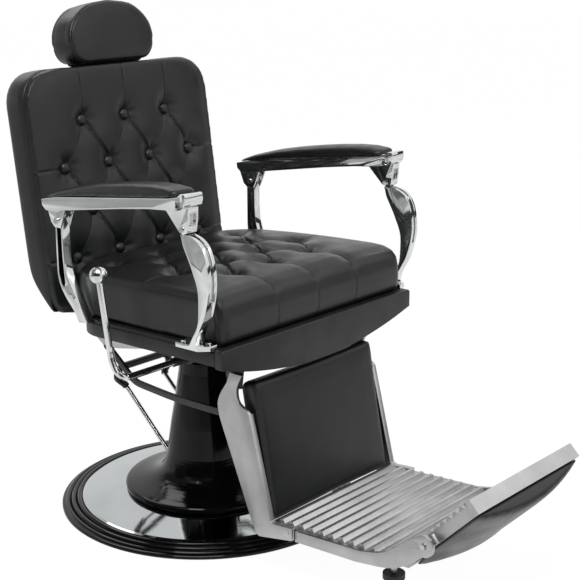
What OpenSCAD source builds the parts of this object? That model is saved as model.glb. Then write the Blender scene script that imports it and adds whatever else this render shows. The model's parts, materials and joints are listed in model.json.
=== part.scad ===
// Hydraulic barber chair: round base with pump, tufted seat and back, chrome arms,
// reclining back linked to a swinging footrest, folding toe flap, sliding headrest.
// Frame: origin on the floor under the column axis, +Z up, the sitter faces -Y.

/* [Base and pump] */
// Radius of the round base
base_r = 310; // [290:1:330]
// Outer radius of the mirror disc
disc_r = 267; // [262:1:270]
// Height of the column cover above the floor
cover_top = 313; // [310:1:314]
// Radius of the lifting ram
ram_r = 28; // [26:0.5:29]
// Highest lift of the seat
lift = 160; // [100:5:170]

/* [Seat] */
// Half width of the seat board and front apron
board_half = 277; // [272:1:280]
// Half width of the seat cushion
seat_half = 262; // [255:1:262]
// Front of the seat board
seat_front = -302; // [-306:1:-300]
// Distance between neighbouring tufts
tuft_pitch = 115; // [110:1:116]

/* [Back] */
// Lean of the back from upright, in degrees
back_rake = 7.8; // [6:0.1:9]
// Half width of the back
back_half = 249; // [246:1:250]
// Distance between the button rows along the back
row_pitch = 91.6; // [88:0.1:94]
// Largest recline of the back, in degrees
recline = 40; // [20:1:40]

/* [Arms] */
// Distance of an arm's front end from the middle of the chair
arm_x = 289; // [288:1:292]
// How far the arms close in towards the back, in degrees
arm_splay = 2.7; // [2:0.1:2.8]

/* [Footrest] */
// Outer half width of the footrest arms
foot_half = 190; // [188:1:194]
// Distance between the ribs of the footplate
rib_pitch = 23.5; // [22:0.5:25]

/* [Hidden] */
$fn = 64;
fit = 0.05;
gap = 0.5;
eps = 0.01;

// Seat board: its top plane tips back slightly.
board_tip = 1.36;
board_top = 454;
board_front = -321;
board_t = 31;
board_rear = 100;
board_corner = 85;

// Hinge points in the YZ plane. The two cranks are equal and parallel, so the footrest
// swings through the same angle as the back.
hinge = [127, 425];
crank = [-27, -67];
foot_pivot = [-256, 360];
lock_arm = 75;
lock_pin = hinge + lock_arm * [sin(recline / 2), -cos(recline / 2)];
flap_pivot = [-693, 168];
lever_axis = [-89, 361];
pedal_pivot = [14, 60];

// Middle of the top row of buttons on the back.
row0 = [222, 798];

function reverse(a) = [for (i = [len(a) - 1:-1:0]) a[i]];
function lerp(a, b, s) = a + (b - a) * s;
function cat_point(a, b, c, d, s) =
  0.5 * (2 * b + (c - a) * s + (2 * a - 5 * b + 4 * c - d) * s * s + (3 * b - a - 3 * c + d) * s * s * s);
// Smooth curve through a list of points.
function smooth(p, n = 4) = let (e = len(p) - 1) concat(
  [for (i = [0:e - 1], s = [0:n - 1])
    cat_point(p[max(i - 1, 0)], p[i], p[i + 1], p[min(i + 2, e)], s / n)],
  [p[e]]);
// Points of a quarter-like arc in the plane.
function arc(c, r, a0, a1, n = 6) = [for (i = [0:n]) c + r * [cos(a0 + (a1 - a0) * i / n), sin(a0 + (a1 - a0) * i / n)]];

// Rectangle with rounded corners whose sides draw in a little between them.
function soft_box(x0, x1, z0, z1, r, draw) = let (m = [(x0 + x1) / 2, (z0 + z1) / 2]) concat(
  arc([x1 - r, z0 + r], r, -90, 0, 4), [[x1 - draw / 2, lerp(z0, z1, 0.3)], [x1 - draw, m[1]],
    [x1 - draw / 2, lerp(z0, z1, 0.7)]],
  arc([x1 - r, z1 - r], r, 0, 90, 4), [[lerp(x0, x1, 0.7), z1 - draw / 2], [m[0], z1 - draw],
    [lerp(x0, x1, 0.3), z1 - draw / 2]],
  arc([x0 + r, z1 - r], r, 90, 180, 4), [[x0 + draw / 2, lerp(z0, z1, 0.7)], [x0 + draw, m[1]],
    [x0 + draw / 2, lerp(z0, z1, 0.3)]],
  arc([x0 + r, z0 + r], r, 180, 270, 4), [[lerp(x0, x1, 0.3), z0 + draw / 2], [m[0], z0 + draw],
    [lerp(x0, x1, 0.7), z0 + draw / 2]]);

// Extrudes a YZ outline along X, from x0 over a width w.
module yz(x0, w) {
  translate([x0, 0, 0]) rotate([90, 0, 90]) linear_extrude(w) children();
}
// Round bar along X.
module rod_x(x0, x1, yz_point, r) {
  translate([x0, yz_point[0], yz_point[1]]) rotate([0, 90, 0]) cylinder(h = x1 - x0, r = r);
}
module both_sides() {
  children();
  mirror([1, 0, 0]) children();
}
// The seat board's tipped frame.
module tipped() {
  translate([0, board_front, board_top]) rotate([-board_tip, 0, 0])
    translate([0, -board_front, -board_top]) children();
}
// The back's frame: X across, Y from front to rear, Z up along the back.
module on_back() {
  translate([0, row0[0], row0[1]]) rotate([-back_rake, 0, 0]) children();
}
// The frame of the left arm, whose own middle plane is x = 0.
module on_arm() {
  translate([arm_x, -300, 0]) rotate([0, 0, arm_splay]) translate([0, 300, 0]) children();
}
// A straight round bar between two points.
module strut(a, b, r) {
  d = b - a;
  len = norm(d);
  translate(a) rotate([0, acos(d[2] / len), atan2(d[1], d[0])]) cylinder(h = len, r = r);
}
// Bent round bar: a skin of rings along a path that never runs along Y.
module tube(path, r, sides = 12) {
  e = len(path) - 1;
  skin([for (i = [0:e]) let (d = path[min(i + 1, e)] - path[max(i - 1, 0)], u = cross(d, [0, 1, 0]) / norm(cross(d, [0, 1, 0])),
    v = cross(u, d) / norm(d)) [for (j = [0:sides - 1]) path[i] + r * (cos(360 * j / sides) * u + sin(360 * j / sides) * v)]]);
}
// Hexagon-headed bolt pointing down, its head seated at z = 0.
module bolt(r, head_h, shank) {
  cylinder(h = head_h, r = 1.8 * r, $fn = 6);
  translate([0, 0, -shank]) cylinder(h = shank + eps, r = r);
}

// ---- soft forms ----

// Diamond quilting: 1 on top of a puff, 0 on the sewn valleys. Rows alternate between three
// and four tufts over a depth of three rows; outside them the valleys run on as channels.
function quilt(x, t, p, q) =
  let (xc = min(abs(x), 1.5 * p), tc = max(-3 * q, min(0, t)),
       a = xc / p + tc / (2 * q), b = xc / p - tc / (2 * q))
  sqrt(abs(sin(180 * a) * sin(180 * b)));
// Closed skin over a row of rings, each a list of the same number of points.
module skin(rings) {
  n = len(rings[0]);
  m = len(rings);
  pts = [for (r = rings) each r];
  mid0 = [for (k = [0:2]) sum([for (v = rings[0]) v[k]]) / n];
  mid1 = [for (k = [0:2]) sum([for (v = rings[m - 1]) v[k]]) / n];
  polyhedron(
    points = concat(pts, [mid0, mid1]),
    faces = concat(
      [for (i = [0:m - 2], j = [0:n - 1]) each
        let (k = (j + 1) % n, a = i * n + j, b = i * n + k, c = a + n, d = b + n)
        (i + j) % 2 == 0 ? [[a, b, d], [a, d, c]] : [[a, b, c], [b, d, c]]],
      [for (j = [0:n - 1]) [(j + 1) % n, j, m * n]],
      [for (j = [0:n - 1]) [(m - 1) * n + j, (m - 1) * n + (j + 1) % n, m * n + 1]]),
    convexity = 8);
}
function sum(v, i = 0) = i < len(v) ? v[i] + sum(v, i + 1) : 0;
// Padded form: an XZ outline drawn towards its middle at each level [y, share of x, share of z].
module padded(outline, middle, levels) {
  skin([for (v = levels) [for (q = outline)
    [middle[0] + (q[0] - middle[0]) * v[1], v[0], middle[1] + (q[1] - middle[1]) * v[2]]]]);
}
// Strip of even width along a path in the plane.
function strip(path, r) = let (e = len(path) - 1,
    side = [for (i = [0:e]) let (d = path[min(i + 1, e)] - path[max(i - 1, 0)]) r * [-d[1], d[0]] / norm(d)])
  concat([for (i = [0:e]) path[i] + side[i]], [for (i = [e:-1:0]) path[i] - side[i]]);

// ---- base ----

plate_top = 26;
module base_plate() {
  color("dimgray") difference() {
    rotate_extrude($fn = 96) polygon([[0, 0], [289, 0], [289, 5], [264, 12], [150, 22], [110, plate_top],
      [0, plate_top]]);
    for (a = [45:90:315]) rotate([0, 0, a]) translate([62, 0, 8]) cylinder(h = 40, r = 4.1, $fn = 24);
  }
}

module base_rim() {
  // Three rounded steps climb inwards from the edge to the disc.
  step = (base_r - 6 - disc_r) / 3;
  color("black") rotate_extrude($fn = 128) polygon(concat(
    [[289.2, 0], [base_r - 2, 0], [base_r, 2], [base_r, 5]],
    arc([base_r - 3, 5], 3, 4, 90, 3),
    [for (k = [0:2]) each arc([base_r - 6 - (k + 0.5) * step, 7.6 + 3.2 * k], step / 2 - 0.5, 10, 165, 6)],
    [[disc_r + 0.2, 18.5], [disc_r + 0.2, 12.2], [289.2, 6]]));
}

module base_disc() {
  color("silver") rotate_extrude($fn = 128)
    polygon([[121, 27], [disc_r, 16.5], [disc_r, 18], [262, 20], [220, 25], [172, 31], [121, 32.5]]);
}

module column_cover() {
  outer = concat(
    [[174, 33], [175, 38]], arc([169, 39], 6, 10, 80, 3),
    smooth([[158, 47.5], [140, 51], [122, 56], [108, 63], [98, 72], [92, 83], [88, 96], [85, 109]], 2),
    [[76, 171], [66.5, 224], [57, 284], [55, cover_top - 6]], arc([51, cover_top - 4], 4, 0, 90, 4));
  inner = [[44, cover_top], [44, cover_top - 5], [50, cover_top - 9], [53, 284], [62, 224], [71.5, 171],
    [81, 109], [84, 95], [88, 81], [94, 69], [104, 59], [119, 51.5], [138, 46.5], [158, 42], [169, 33]];
  color("black") difference() {
    rotate_extrude($fn = 96) polygon(concat(outer, inner));
    both_sides() translate([50.5, 50, 70]) cube([13, 75, 52]);
  }
}

gland_z = 286;
module pump_cylinder() {
  color("gray") difference() {
    union() {
      translate([0, 0, plate_top]) cylinder(h = 10, r = 76);
      translate([0, 0, plate_top]) cylinder(h = gland_z - plate_top, r = 41);
    }
    translate([0, 0, 38]) cylinder(h = 300, r = 34);
    for (a = [45:90:315]) rotate([0, 0, a]) translate([62, 0, 16]) cylinder(h = 40, r = 4.1, $fn = 24);
  }
}

module pump_gland() {
  color("goldenrod") translate([0, 0, gland_z]) difference() {
    cylinder(h = 18, r = 41);
    translate([0, 0, -1]) cylinder(h = 20, r = ram_r + fit);
  }
}

module pump_bolts() {
  color("silver") for (a = [45:90:315]) rotate([0, 0, a]) translate([62, 0, plate_top + 10]) bolt(4, 5, 26);
}

module pedal_bracket() {
  // Two ears beside the pump carry the pedal's pin.
  color("dimgray") both_sides() difference() {
    yz(77, 8) polygon(concat([[40, plate_top]], arc(pedal_pivot, 13, -10, 190, 10), [[-12, plate_top]]));
    rod_x(70, 90, pedal_pivot, 6);
  }
}

module pedal_pin() {
  // One stub in the pump's wall and the ear on each side.
  color("silver") both_sides() rod_x(35.5, 87, pedal_pivot, 6);
}

module pump_ram() {
  color("silver") {
    translate([0, 0, 52]) cylinder(h = cover_top + 3 - 52, r = ram_r);
    translate([0, 0, cover_top]) cylinder(h = 65, r = 20);
    translate([0, 0, 52]) cylinder(h = 24, r = 34 - fit);
  }
}

// ---- pedal ----

loop_top = [195, 261];
rod_end = [191, 221];
rod_x_place = 57;
rod_dir = (rod_end - pedal_pivot) / norm(rod_end - pedal_pivot);
module pedal_rods() {
  // Two hubs on the pin, each with a straight rod out to the loop.
  start = pedal_pivot + 8 * rod_dir;
  color("silver") {
    difference() {
      both_sides() rod_x(48, 72, pedal_pivot, 11);
      rod_x(-90, 90, pedal_pivot, 6 + fit);
    }
    both_sides() strut([rod_x_place, start[0], start[1]], [rod_x_place, rod_end[0], rod_end[1]], 5);
  }
}

module pedal_sleeve() {
  // Stirrup loop round the rod ends: the sides flare out, then turn in to the cross bar.
  x = rod_x_place;
  side = [[x, rod_end[0] - 4, rod_end[1] - 4], [x + 4, rod_end[0], rod_end[1] + 3], [x + 17, 193.5, 236],
    [x + 19, 194, 244], [x + 15, 194.5, 254], [x + 5, loop_top[0], loop_top[1]]];
  near = smooth(side, 2);
  color("black") tube(concat(near, [for (v = reverse(near)) [-v[0], v[1], v[2]]]), 8);
}

// ---- seat ----

head_z = 376;
module swivel_head() {
  color("black") difference() {
    union() {
      translate([0, 0, cover_top + 3.5]) cylinder(h = head_z - cover_top, r = 54);
      translate([-90, -90, head_z]) cube([180, 180, 8]);
    }
    translate([0, 0, 288]) cylinder(h = 91, r = 20 + fit);
    head_bolt_holes();
  }
}

bolt_place = 75;
module head_bolt_holes() {
  for (x = [-bolt_place, bolt_place], y = [-bolt_place, bolt_place])
    translate([x, y, head_z - 1]) cylinder(h = 16, r = 4);
}
module head_bolts() {
  color("silver") for (x = [-bolt_place, bolt_place], y = [-bolt_place, bolt_place])
    translate([x, y, head_z]) mirror([0, 0, 1]) bolt(4, 5, 14);
}

rail_bottom = 392;
board_low = board_top - board_t;
module seat_frame() {
  color("dimgray") {
    difference() {
      translate([-95, -95, head_z + 8]) cube([190, 190, 10]);
      head_bolt_holes();
    }
    tipped() {
      both_sides() translate([112, -276, rail_bottom]) cube([26, 368, board_low - rail_bottom]);
      translate([-165, -276, rail_bottom + 10]) cube([330, 24, board_low - rail_bottom - 10]);
      translate([-140, 62, rail_bottom + 3]) cube([280, 30, board_low - rail_bottom - 3]);
    }
    both_sides() translate([90, -95, head_z + 8]) cube([48, 190, 14]);
  }
}

function board_outline(inset = 0) = let (h = board_half - inset, r = board_corner, rear = board_rear - inset) concat(
  [[-h, seat_front + 0.8], [h, seat_front + 0.8]],
  arc([h - r, rear - r], r, 0, 90, 10),
  arc([r - h, rear - r], r, 90, 180, 10));
module seat_board() {
  color("black") difference() {
    tipped() {
      translate([0, 0, board_low]) linear_extrude(board_t - 6) polygon(board_outline());
      translate([0, 0, board_top - 7]) linear_extrude(7) polygon(board_outline(5));
    }
    // Slots underneath, into which the back's cranks rise as it reclines.
    both_sides() translate([crank_x - 1.5, 64, 380]) cube([9, 42, 55]);
  }
}

module front_apron() {
  // Boat-shaped: the lower edge drops towards the middle.
  n = 24;
  drop = 42.5;
  low_mid = 376.5;
  low = [for (i = [0:n]) let (x = -board_half + 2 * board_half * i / n)
    [x, low_mid + drop * pow(abs(x) / board_half, 1.9)]];
  color("black") difference() {
    translate([0, seat_front, 0]) rotate([90, 0, 0]) linear_extrude(seat_front - board_front)
      polygon(concat(low, [[board_half, board_top - 3], [board_half - 4, board_top + 1],
        [4 - board_half, board_top + 1], [-board_half, board_top - 3]]));
    // Thinner below, where the leg pad swings past.
    translate([-200, seat_front - 9, 360]) cube([400, 10, 36]);
  }
}

// Just above the board's tipped top, and just under its underside.
function over_board(y) = board_top + 0.5 - (y - board_front) * tan(board_tip);
function under_board(y) = board_low - (y - board_front) * tan(board_tip);
function under_rail(y) = rail_bottom - (y - board_front) * tan(board_tip);

// Seat cushion: side-profile rings along X. Its rear corners are rounded in plan.
seat_q = 88;
seat_row = -190;
seat_back = 156;
function seat_rear(x) = let (r = 120, e = max(0, abs(x) - (seat_half - r)))
  seat_back - r + sqrt(max(0, r * r - e * e));
function seat_edge(y) = 540 - 0.045 * (y + 290);
// The quilting fades towards the sides.
function seat_quilt(x, t) = let (s = max(0, abs(x) - 1.5 * tuft_pitch) / (seat_half - 1.5 * tuft_pitch))
  lerp(quilt(x, t, tuft_pitch, seat_q), 0.7, 0.75 * s);
function seat_ring(x, inset) =
  let (rear = seat_rear(x) - inset,
       ys = [for (k = [0:14]) lerp(-250, rear - 14, k / 14)],
       over = sqrt(max(0, 1 - pow(abs(x) / seat_half, 4))))
  concat(
    [[x, -302 + inset, 455], [x, -309 + inset, 468], [x, -310 + inset, 488], [x, -305 + inset, 510],
     [x, -294 + inset, 529], [x, -275, 540 + over * (3 + 9 * seat_quilt(x, 0)) - inset]],
    [for (y = ys) [x, y, seat_edge(y) - inset
      + over * (2 + 24 * seat_quilt(x, seat_row - y) * sqrt(min(1, (rear - y) / 40)))]],
    [[x, rear - 3, seat_edge(rear) - 14], [x, rear, 490], [x, rear - 5, over_board(rear - 5)],
     [x, -60, over_board(-60)], [x, -200, over_board(-200)]]);
module seat_cushion() {
  p = tuft_pitch;
  inner = [for (i = [-8:8]) i * p / 4];
  outer = [243, 252, 258];
  color("black") skin(concat(
    [seat_ring(-seat_half, 12), seat_ring(-seat_half + 1.5, 5)],
    [for (x = reverse(outer)) seat_ring(-x, 0)],
    [for (x = inner) seat_ring(x, 0)],
    [for (x = outer) seat_ring(x, 0)],
    [seat_ring(seat_half - 1.5, 5), seat_ring(seat_half, 12)]));
}

// ---- arms ----

// Top line of the bar and crest line of the pad above it, from front to rear.
bar_top = [[-254, 727], [-231, 722], [-183, 716], [-99, 706], [-11, 696], [64, 686], [98, 681], [143, 671]];
pad_crest = [[-250, 735], [-238, 739], [-215, 741], [-180, 740], [-135, 736], [-80, 729], [-20, 720], [30, 710],
  [65, 701], [90, 694], [112, 686], [130, 677]];

module arm_bar() {
  // Carrier under the pad with a boxed nose, and the knuckle over the front leg.
  nose = [[-273, 733], [-275, 722], [-272, 712], [-264, 706], [-248, 702], [-222, 700]];
  under = [[-180, 696], [-98, 685], [-12, 672], [81, 657], [94, 652], [130, 651], [141, 659]];
  color("silver") difference() {
    union() {
      yz(-18, 42) polygon(concat(nose, under, reverse(bar_top), [[-262, 733]]));
      yz(-10, 24) polygon([[-208, 701], [-244, 665], [-256, 659], [-266, 664], [-270, 688], [-271, 709],
        [-250, 706]]);
    }
    for (x = [-19, 13]) translate([x, -261, 706]) cube([12, 12, 13]);
    translate([-6, -284, 676]) cube([16, 24, 22]);
  }
}
module front_leg() {
  outer = smooth([[-248, 659], [-262, 660], [-282, 656], [-299, 646], [-310, 628], [-316, 605], [-318, 583],
    [-316, 560], [-310, 535], [-303, 515], [-293, 497], [-284, 480], [-279, 459]], 3);
  inner = smooth([[-262, 459], [-275, 481], [-283, 494], [-288, 508], [-290, 530], [-290, 559], [-286, 576],
    [-279, 592], [-271, 609], [-262, 625], [-254, 640], [-250, 654]], 3);
  crest = [for (v = outer) if (v[1] > 548) v];
  color("silver") {
    difference() {
      yz(-7, 20) polygon(concat(outer, inner));
      // Groove between the two ridges of the crest.
      yz(0, 6) polygon(concat([for (v = crest) v - [9, 0]], reverse([for (v = crest) v + [6, -4]])));
    }
    tipped() translate([0, 0, board_top + 0.2]) linear_extrude(9)
      polygon([[-20, -300], [-4, -300], [12, -284], [14, -228], [-16, -228]]);
  }
}
module rear_leg() {
  outer = smooth([[121, 648], [121, 621], [121, 571], [121, 527], [114, 502], [97, 479], [74, 457], [60, 437]], 4);
  inner = smooth([[34, 440], [48, 460], [66, 486], [83, 510], [94, 530], [99, 560], [100, 600], [100, 648]], 4);
  color("silver") difference() {
    yz(-8, 18) polygon(concat(outer, inner));
    // Open channel facing outwards.
    yz(-2, 14) polygon([[104, 640], [117, 640], [117, 528], [109, 504], [101, 500], [98, 510], [103, 560]]);
  }
}
// Crowned pad: rings from its front end to its rear end.
function arm_pad_ring(y, w, z0, z1) = [for (a = [0:18:180])
  [w * sign(90 - a) * pow(abs(cos(a)), 0.55), y, lerp(z0, z1, pow(sin(a), 0.62))]];
module arm_pad() {
  ys = [-240, -215, -180, -135, -85, -30, 25, 62, 90, 112];
  color("black") skin(concat(
    [arm_pad_ring(-250, 16, 728, 734), arm_pad_ring(-248, 23, 726.5, 737)],
    [for (y = ys) arm_pad_ring(y, 28, lookup(y, bar_top) + 0.9, lookup(y, pad_crest))],
    [arm_pad_ring(126, 25, 675.6, 679.6), arm_pad_ring(130, 16, 675, 677.6)]));
}
module arm_bracket() {
  // Clevis between the rear leg and the bar.
  plate = [[140, 656], [128, 626], [118, 618], [100, 618], [94, 630], [84, 654]];
  color("silver") {
    yz(-12, 3.9) polygon(plate);
    yz(10.1, 3.9) polygon(plate);
  }
}
module arm_bolt_set() {
  color("silver") {
    for (x = [-16, 14]) rod_x(x, x + 4, [109, 632], 6);
    for (x = [-13, 14]) rod_x(x, x + 3, [-253, 668], 5);
    tipped() for (place = [[5, -241], [-11, -289]])
      translate([place[0], place[1], board_top + 9.2]) cylinder(h = 4, r = 5);
  }
}
module arm_bar_left() on_arm() arm_bar();
module arm_bar_right() mirror([1, 0, 0]) on_arm() arm_bar();
module front_leg_left() on_arm() front_leg();
module front_leg_right() mirror([1, 0, 0]) on_arm() front_leg();
// Each rear leg is notched round the board's edge.
module rear_leg_left() difference() {
  on_arm() rear_leg();
  tipped() translate([0, 0, board_low - 0.1]) linear_extrude(board_t + 0.2) polygon(board_outline());
}
module rear_leg_right() mirror([1, 0, 0]) rear_leg_left();
module arm_pad_left() on_arm() arm_pad();
module arm_pad_right() mirror([1, 0, 0]) on_arm() arm_pad();
module arm_brackets() both_sides() on_arm() arm_bracket();
module arm_bolts() both_sides() on_arm() arm_bolt_set();

// ---- brackets under the seat ----

module hinge_brackets() {
  color("lightgray") both_sides() difference() {
    yz(203, 7) polygon(concat([[-59, under_board(-59)], [-59, 390], [35, 372], [78, 372]],
      arc(hinge, 17, -60, 90, 10), [[96, under_board(96)]]));
    rod_x(200, 214, hinge, 9);
  }
}
module hinge_shaft() {
  color("silver") rod_x(-214, 214, hinge, 9);
}
module footrest_brackets() {
  color("dimgray") both_sides() difference() {
    yz(177.5, 5) polygon(concat([[-285, under_board(-285)], [-274, 350]], arc(foot_pivot, 16, 220, 340, 8),
      [[-230, under_board(-230)]]));
    rod_x(170, 190, foot_pivot, 6 + fit);
  }
}
module lever_brackets() {
  // Two ears under the left rail carry the lever's shaft.
  color("dimgray") for (x = [-136, -118]) difference() {
    yz(x, 6) polygon(concat([[-112, under_rail(-112)]], arc(lever_axis, 14, 180, 360, 10), [[-66, under_rail(-66)]]));
    rod_x(x - 2, x + 8, lever_axis, 6.5 + fit);
  }
}
lock_x = 100;
lock_z = lock_pin[1] - lock_arm * (1 - cos(recline / 2)) / 2;
module lock_cylinder() {
  y1 = lock_pin[0] - 2 * lock_arm * sin(recline / 2) - 15;
  color("gray") difference() {
    union() {
      translate([lock_x, y1, lock_z]) rotate([90, 0, 0]) cylinder(h = 105, r = 13);
      for (y = [y1 - 42, y1 - 102]) translate([lock_x - 5, y, lock_z]) cube([10, 12, head_z + 8 - lock_z]);
    }
    translate([lock_x, y1 + 1, lock_z]) rotate([90, 0, 0]) cylinder(h = 100, r = 6 + fit);
  }
}

// ---- recline lever ----

lever_x = -309;
knob_place = [-36, 553];
module recline_lever() {
  // A round rod that bends under the board into its cross shaft.
  bends = [[lever_x, knob_place[0], knob_place[1]], [lever_x, -48, 482], [lever_x, -60, 410], [lever_x, -66, 388],
    [lever_x + 2, -76, 371], [lever_x + 10, -86, 362.5], [lever_x + 20, lever_axis[0], lever_axis[1]]];
  color("silver") {
    tube(smooth(bends, 3), 6.4);
    rod_x(lever_x + 14, -110, lever_axis, 6.5);
  }
}
module lever_knob() {
  color("silver") difference() {
    translate([lever_x, knob_place[0], knob_place[1]]) sphere(r = 17);
    strut([lever_x, -48, 482], [lever_x, knob_place[0], knob_place[1]], 6.5);
  }
}
module lever_spring() {
  // Return spring round the lever's shaft, one unbroken wire.
  turns = 12;
  x0 = -178;
  x1 = -140;
  coil_r = 8.7;
  wire_r = 1.1;
  steps = 8;
  n = turns * steps;
  function at(k) = let (s = k / n) [lerp(x0, x1, s), lever_axis[0] + coil_r * cos(360 * k / steps),
    lever_axis[1] + coil_r * sin(360 * k / steps)];
  pitch = (x1 - x0) / turns;
  echo(spring_least_gap = pitch * cos(atan(pitch / (2 * PI * coil_r))) - 2 * wire_r);
  color("silver") skin([for (k = [0:n]) let (c = at(k), a = 360 * k / steps)
    [for (j = [0:5]) c + wire_r * (cos(60 * j) * [0, cos(a), sin(a)] + sin(60 * j) * [1, 0, 0])]]);
}

// ---- back ----

module lock_rod() {
  tip = lock_pin[0];
  color("silver") difference() {
    union() {
      translate([lock_x, tip, lock_z]) rotate([90, 0, 0]) cylinder(h = 100, r = 6);
      yz(lock_x - 4, 8) hull() {
        translate([tip, lock_z - 4]) circle(r = 12, $fn = 32);
        translate([tip, lock_z + 4]) circle(r = 12, $fn = 32);
      }
    }
    yz(lock_x - 10, 20) hull() {
      translate([tip, lock_z - 3]) circle(r = 5.4, $fn = 32);
      translate([tip, lock_z + 3]) circle(r = 5.4, $fn = 32);
    }
  }
}

crank_x = 169;
module back_crank() {
  link_pin = hinge + crank;
  color("lightgray") {
    difference() {
      union() {
        both_sides() {
          // Crank from the shaft down to the link, and the upright behind the board.
          yz(crank_x, 6) hull() {
            translate(hinge) circle(r = 17, $fn = 32);
            translate(link_pin) circle(r = 12, $fn = 32);
          }
          yz(178, 6) polygon([[118, 413], [128, 409], [150, 403], [176, 404], [190, 412], [216, 434], [222, 448],
            [230, 494], [221, 495.5], [214.5, 451], [209, 436.5], [180, 414], [168, 412], [130, 436]]);
        }
        rod_x(-184, 184, hinge, 14);
        yz(lock_x + 6, 7) hull() {
          translate(hinge) circle(r = 17, $fn = 32);
          translate(lock_pin) circle(r = 11, $fn = 32);
        }
      }
      rod_x(-220, 220, hinge, 9 + fit);
    }
    both_sides() rod_x(crank_x + 2, crank_x + 14.3, link_pin, 5);
    rod_x(lock_x - 6, lock_x + 8, lock_pin, 5);
  }
}

back_top = 106;
back_low = -384;
// Planes of the back from front to rear: cushion, board, shell.
seam_n = 3;
cushion_n = 37.7;
board_n = 38;
shell_n = 49.8;
back_n = 68.5;
function back_outline(h, top, bottom, r, rb) = concat(
  arc([h - r, top - r], r, 0, 90, 8),
  arc([r - h, top - r], r, 90, 180, 8),
  arc([rb - h, bottom + rb], rb, 180, 270, 6),
  arc([h - rb, bottom + rb], rb, 270, 360, 6));
// A flat layer of the back, cut off below by a slope.
module back_slab(n0, n1, h, top) {
  intersection() {
    translate([0, n1, 0]) rotate([90, 0, 0]) linear_extrude(n1 - n0) polygon(back_outline(h, top, back_low, 66, 40));
    yz(-300, 600) polygon([[-60, 170], [-60, -392], [4, back_low], [12, -375], [40, -340], [61, -308],
      [66, -290], [back_n, -262], [back_n, 170]]);
  }
}
module back_board() {
  color("tan") on_back() difference() {
    back_slab(board_n, shell_n - 0.3, back_half - 2, back_top);
    both_sides() translate([174, board_n - 7, -400]) cube([14, 30, 108]);
  }
}
module back_shell() {
  color("black") on_back() difference() {
    back_slab(shell_n, back_n, back_half - 1, back_top + 1);
    translate([-36, shell_n - 0.5, -130]) cube([72, 12, 300]);
  }
}

function back_half_at(t) = let (r = 66, e = max(0, t - (back_top - r)), rb = 40, g = max(0, back_low + rb - t))
  back_half - r + sqrt(max(0, r * r - e * e)) - rb + sqrt(max(0, rb * rb - g * g));
// Depth of the cushion's rear face, which slopes in at the foot.
function back_rear_at(t) = min(cushion_n, 10 + (t - back_low) * 38 / 36);
function back_face(x, t, h, flat) =
  let (fall = sqrt(max(0, 1 - pow(min(1, abs(x) / (h + 2)), 10))),
       s = max(0, abs(x) - 1.5 * tuft_pitch) / (back_half - 1.5 * tuft_pitch))
  6 - fall * flat * 16 * lerp(quilt(x, t, tuft_pitch, row_pitch), 0.75, 0.5 * s);
function back_ring(t, inset, flat) =
  let (h = back_half_at(t) - inset, rear = back_rear_at(t), p = tuft_pitch)
  concat(
    [[-h + 1, rear, t], [-h, (rear + seam_n) / 2, t], [-h + 2, seam_n, t]],
    [for (i = [-9:9]) let (reach = h - 5 - 4 * (9 - abs(i)), x = sign(i) * min(abs(i) * p / 4, reach))
      [x, back_face(x, t, h, flat), t]],
    [[h - 2, seam_n, t], [h, (rear + seam_n) / 2, t], [h - 1, rear, t]],
    [for (i = [2:-1:-2]) [i / 3 * h, rear, t]]);
module back_cushion() {
  q = row_pitch;
  color("black") on_back() skin(concat(
    [back_ring(back_top, 16, 0.3), back_ring(back_top - 2, 7, 0.6), back_ring(back_top - 7, 1, 0.9)],
    [for (t = [92, 80]) back_ring(t, 0, 1)],
    [for (k = [3:-1:-15]) back_ring(k * q / 4, 0, 1)],
    [for (t = [-356, -368, -377]) back_ring(t, 0, 1)],
    [back_ring(back_low + 2, 3, 0.8), back_ring(back_low, 10, 0.4)]));
}
module back_buttons() {
  p = tuft_pitch;
  color("black") on_back() for (k = [0:3]) for (x = k % 2 == 0 ? [-p, 0, p] : [-1.5 * p, -p / 2, p / 2, 1.5 * p])
    translate([x, 6.5, -k * row_pitch]) rotate([90, 0, 0]) intersection() {
      translate([0, 0, -9]) sphere(r = 16);
      cylinder(h = 20, r = 11);
    }
}

// ---- headrest ----

post_n = 51.4;
tilt_pin = [42, 150];
module headrest_guide() {
  color("gray") on_back() difference() {
    translate([-32, shell_n + 0.1, -120]) cube([64, 11, 222]);
    translate([-20 - gap, post_n - gap, -121]) cube([40 + 2 * gap, 6 + 2 * gap, 224]);
  }
}
module headrest_post() {
  color("silver") on_back() difference() {
    union() {
      translate([-20, post_n, -112]) cube([40, 6, 270]);
      translate([-20, tilt_pin[0], tilt_pin[1] - 8]) cube([40, post_n + 1 - tilt_pin[0], 16]);
      translate([-20, tilt_pin[0], tilt_pin[1]]) rotate([0, 90, 0]) cylinder(h = 40, r = 9);
    }
    translate([-21, tilt_pin[0], tilt_pin[1]]) rotate([0, 90, 0]) cylinder(h = 42, r = 4 + fit);
  }
}
function head_outline(grow = 0) = concat(
  arc([76, 149], 34 + grow, -90, -10, 7),
  smooth([[109.5 + grow, 150], [112 + grow, 160], [107 + grow, 183], [90 + grow, 207], [58, 227 + grow],
    [0, 235 + grow]], 3),
  reverse(smooth([[-109.5 - grow, 150], [-112 - grow, 160], [-107 - grow, 183], [-90 - grow, 207],
    [-58, 227 + grow], [-2, 235 + grow]], 3)),
  arc([-76, 149], 34 + grow, 190, 270, 7));
module headrest_housing() {
  color("black") on_back() difference() {
    translate([0, 70, 0]) rotate([90, 0, 0]) linear_extrude(42.7) polygon(head_outline());
    translate([-21, 30, 100]) cube([42, 36, 71]);
    translate([-40, tilt_pin[0], tilt_pin[1]]) rotate([0, 90, 0]) cylinder(h = 80, r = 4);
  }
}
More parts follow.
